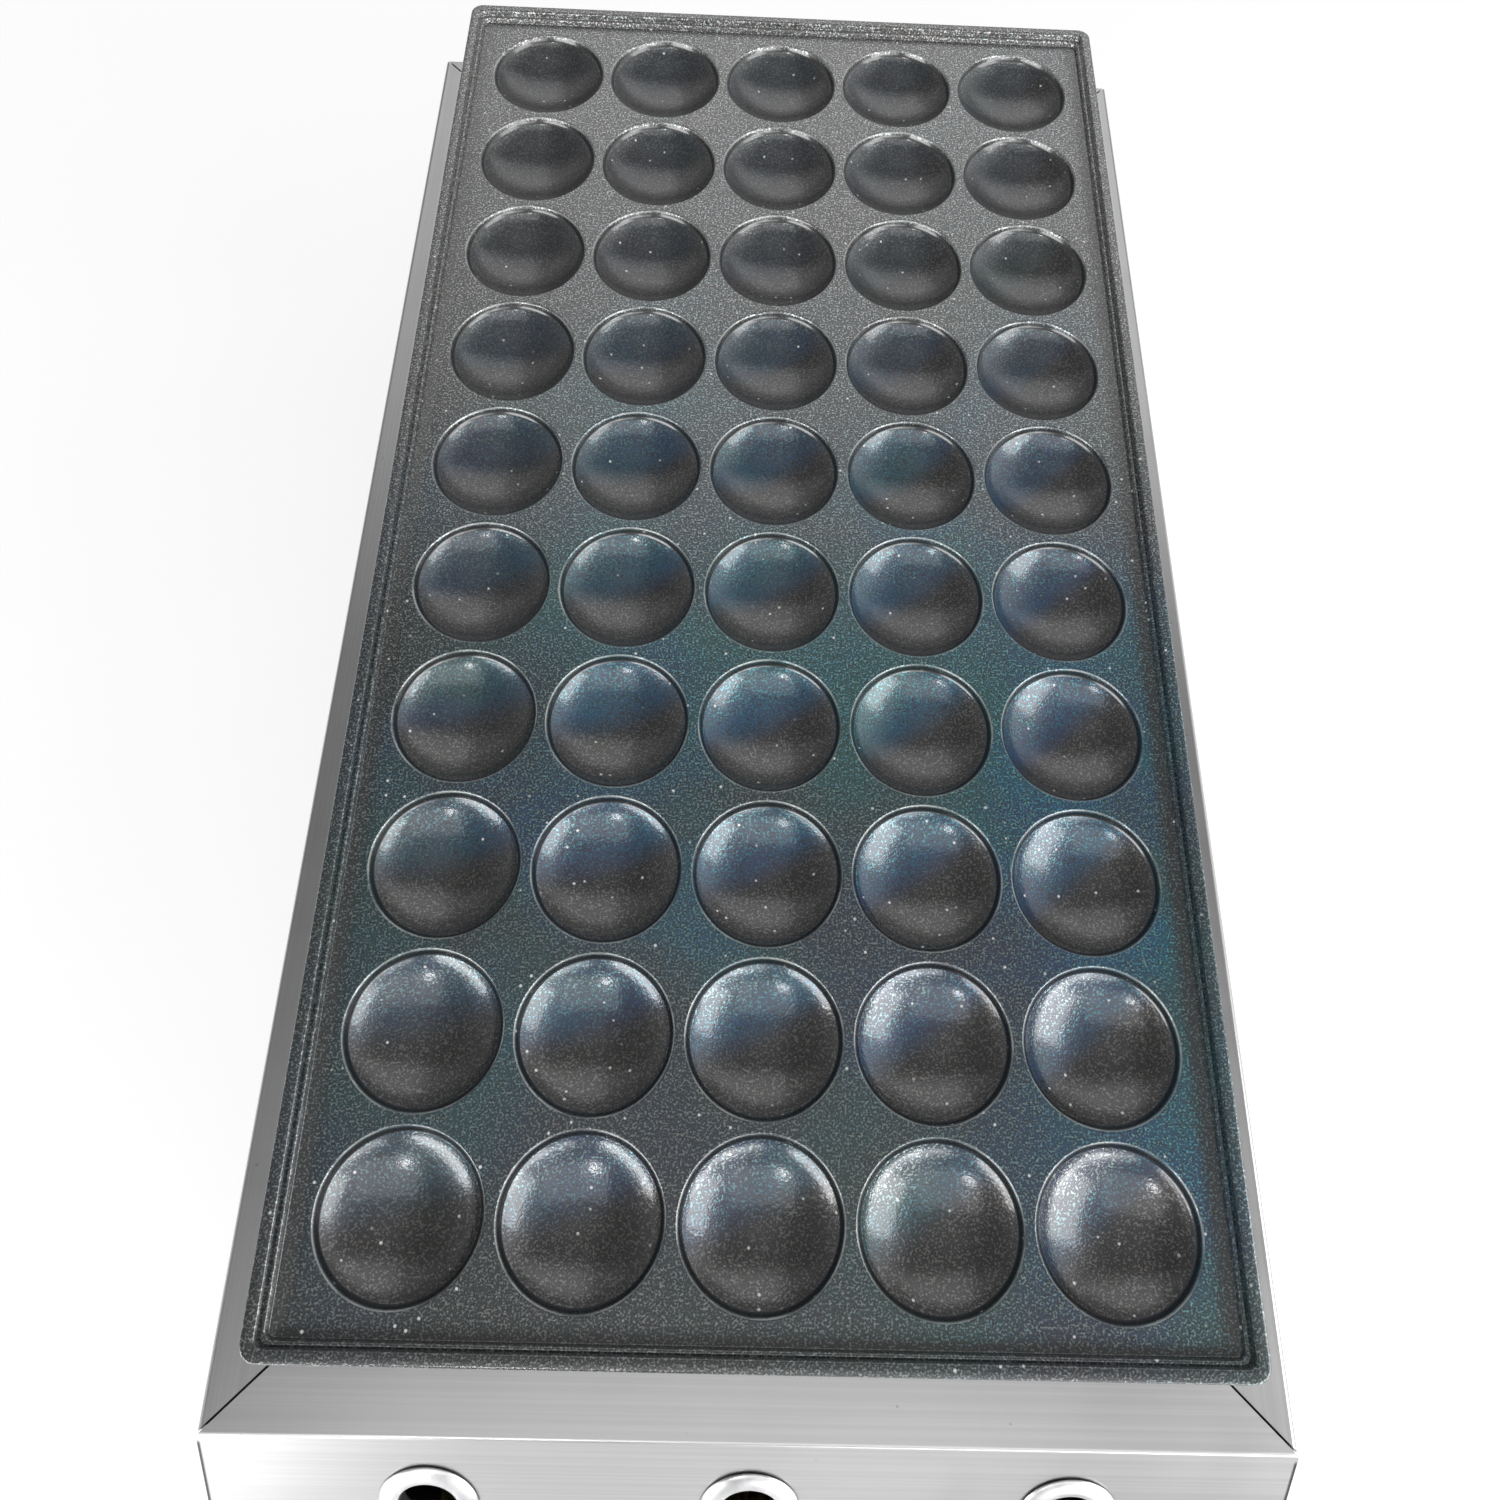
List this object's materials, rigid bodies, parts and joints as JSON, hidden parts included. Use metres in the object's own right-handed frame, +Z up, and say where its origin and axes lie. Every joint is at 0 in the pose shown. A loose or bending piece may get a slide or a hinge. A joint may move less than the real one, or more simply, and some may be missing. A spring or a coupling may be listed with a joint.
{
  "type": "gas waffle maker",
  "caption": "Countertop gas griddle: coated cast plate of round dishes on a fire box over tube burners, in a stainless housing with a sloped front and turning knobs.",
  "frame": {"origin": "on the floor plane, under the middle of the part's box in X and Y", "axes": "+Z up, +Y from the knobs to the back, +X to the cook's right"},
  "size_m": [0.322, 0.6812, 0.2193],
  "materials": {
    "coated_plate": "dark charcoal non-stick coating with a fine pale fleck and a faint blue sheen, satin",
    "stainless": "brushed stainless, grain across the front and along the sides",
    "inner_steel": "dull mill-finish steel",
    "burner_steel": "heat-dulled steel tube",
    "zinc_steel": "zinc plate, satin",
    "brass": "machined brass",
    "knob_plastic": "matt black moulding with a white pointer",
    "dial_print": "satin disc with plain printed marks",
    "polished_ring": "bright polished steel",
    "foot_rubber": "matt black rubber"
  },
  "bodies": {
    "housing": {"front_panel": "stainless", "left_side_panel": "stainless", "right_side_panel": "stainless", "rear_panel": "stainless", "base_pan": "inner_steel", "fire_box_left": "inner_steel", "fire_box_right": "inner_steel", "fire_box_front": "inner_steel", "fire_box_rear": "inner_steel", "heat_shield": "inner_steel", "burner_rail_front": "inner_steel", "burner_rail_rear": "inner_steel", "burner_left": "burner_steel", "burner_centre": "burner_steel", "burner_right": "burner_steel", "gas_manifold": "zinc_steel", "manifold_bracket_left": "zinc_steel", "manifold_bracket_right": "zinc_steel", "inlet_pipe": "zinc_steel", "foot_screw_front_left": "zinc_steel", "foot_screw_front_right": "zinc_steel", "foot_screw_rear_left": "zinc_steel", "foot_screw_rear_right": "zinc_steel", "manifold_plug": "brass", "inlet_elbow": "brass", "inlet_fitting": "brass", "inlet_nut": "brass", "valve_body_left": "brass", "valve_body_centre": "brass", "valve_body_right": "brass", "jet_left": "brass", "jet_centre": "brass", "jet_right": "brass", "dial_plate_left": "dial_print", "dial_plate_centre": "dial_print", "dial_plate_right": "dial_print", "peep_ring_left": "polished_ring", "peep_ring_centre": "polished_ring", "peep_ring_right": "polished_ring", "foot_front_left": "foot_rubber", "foot_front_right": "foot_rubber", "foot_rear_left": "foot_rubber", "foot_rear_right": "foot_rubber"},
    "plate": {"bake_plate": "coated_plate"},
    "cock_left": {"spindle_left": "zinc_steel", "knob_left": "knob_plastic"},
    "cock_centre": {"spindle_centre": "zinc_steel", "knob_centre": "knob_plastic"},
    "cock_right": {"spindle_right": "zinc_steel", "knob_right": "knob_plastic"}
  },
  "joints": [
    {"name": "plate_lift", "type": "slide", "parent": "housing", "child": "plate", "axis": [0, 0, 1], "range_m": [0, 0.08]},
    {"name": "knob_turn_left", "type": "hinge", "parent": "housing", "child": "cock_left", "pos_m": [-0.0955, -0.31627, 0.0953], "axis": [0, 1, 0], "range_deg": [0, 90]},
    {"name": "knob_turn_centre", "type": "hinge", "parent": "housing", "child": "cock_centre", "pos_m": [0, -0.31627, 0.0953], "axis": [0, 1, 0], "range_deg": [0, 90]},
    {"name": "knob_turn_right", "type": "hinge", "parent": "housing", "child": "cock_right", "pos_m": [0.0955, -0.31627, 0.0953], "axis": [0, 1, 0], "range_deg": [0, 90]}
  ]
}
